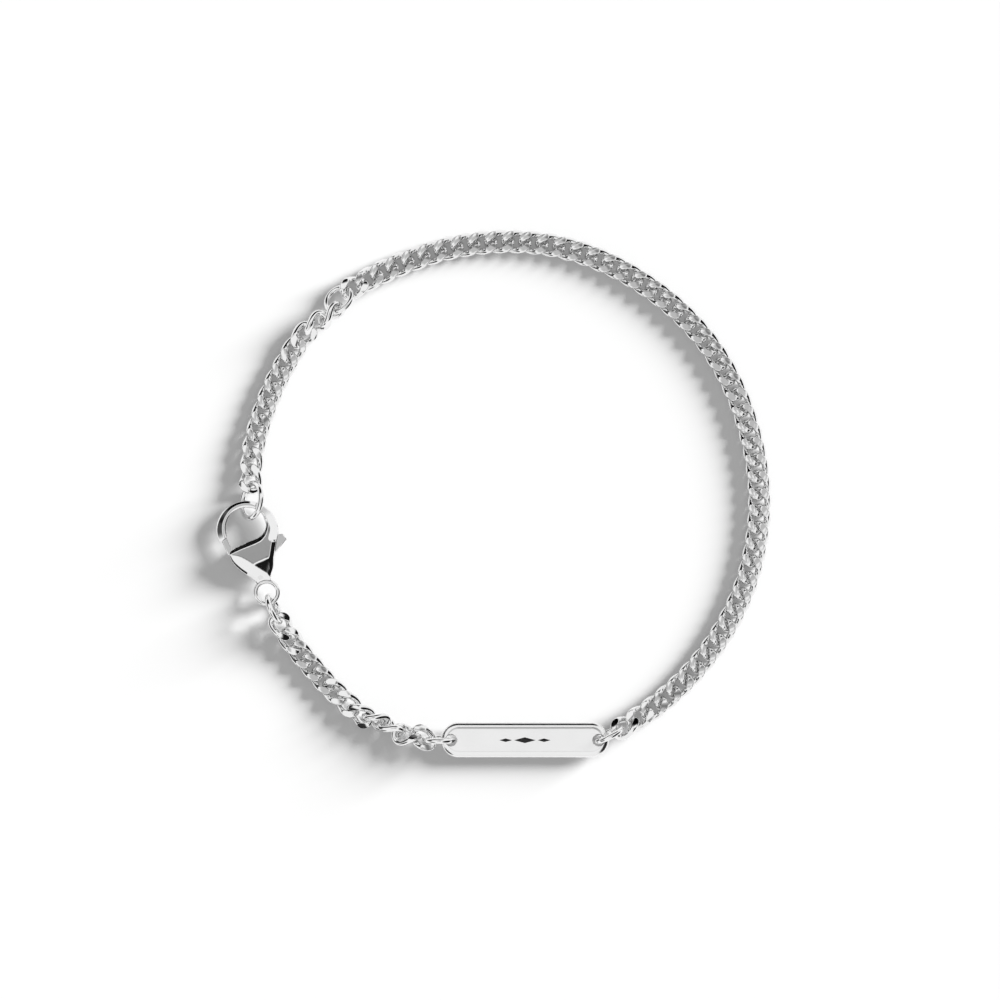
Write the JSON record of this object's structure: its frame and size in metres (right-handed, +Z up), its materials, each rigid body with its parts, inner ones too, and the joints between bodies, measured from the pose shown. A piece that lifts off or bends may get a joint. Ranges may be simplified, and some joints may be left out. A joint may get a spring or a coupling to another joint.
{
  "type": "chain bracelet",
  "caption": "Fastened curb chain bracelet with a plain name plate, jump rings, an adjuster length and a sprung lobster clasp, lying flat in a loop.",
  "frame": {"origin": "middle of the loop's outline, on the surface that the bracelet lies on", "axes": "+Z up from the surface; seen from above, the name plate is at -Y, its long side along X, and the clasp is at -X"},
  "size_m": [0.0665, 0.0633, 0.0043],
  "materials": {
    "polished_silver": "polished",
    "plate_silver": "polished face with a fine satin haze"
  },
  "bodies": {
    "bracelet": {"name_plate": "plate_silver", "long_chain": "polished_silver", "adjuster_chain": "polished_silver", "short_chain": "polished_silver", "plate_ring_right": "polished_silver", "plate_ring_left": "polished_silver", "adjuster_ring": "polished_silver", "end_ring": "polished_silver", "clasp_ring": "polished_silver", "clasp_body": "polished_silver", "clasp_pin": "polished_silver"},
    "lever": {"clasp_lever": "polished_silver"}
  },
  "joints": [
    {"name": "lever_hinge", "type": "hinge", "parent": "bracelet", "child": "lever", "pos_m": [-0.03003, -0.00794, 0.0015], "axis": [0, 0, -1], "range_deg": [0, 20], "stiffness_Nm_per_rad": 0.004}
  ]
}
